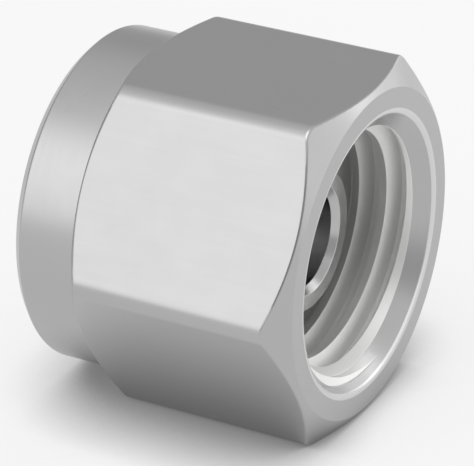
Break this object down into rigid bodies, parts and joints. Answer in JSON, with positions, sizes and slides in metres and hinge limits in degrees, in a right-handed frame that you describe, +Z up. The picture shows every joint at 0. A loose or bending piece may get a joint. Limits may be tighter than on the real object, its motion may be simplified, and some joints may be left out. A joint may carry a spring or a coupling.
{
  "type": "tube plug",
  "caption": "Hexagon nut with a round rear collar and a threaded mouth, holding a recessed turned plug that closes the end of a small tube fitting.",
  "frame": {"origin": "centre of the nut's mouth, on the thread's axis in the plane of the nut's front face", "axes": "+X along the thread's axis out of the mouth, +Z up from the hexagon flat that the nut lies on"},
  "size_m": [0.0127, 0.0162, 0.0142],
  "materials": {
    "nut_steel": "satin turned and drawn stainless steel",
    "plug_steel": "bright turned stainless steel"
  },
  "bodies": {
    "nut": {"nut": "nut_steel"},
    "plug": {"plug": "plug_steel"}
  },
  "joints": [
    {"name": "nut_swivel", "type": "hinge", "parent": "nut", "child": "plug", "pos_m": [-0.011, 0, 0], "axis": [1, 0, 0], "continuous": true}
  ]
}
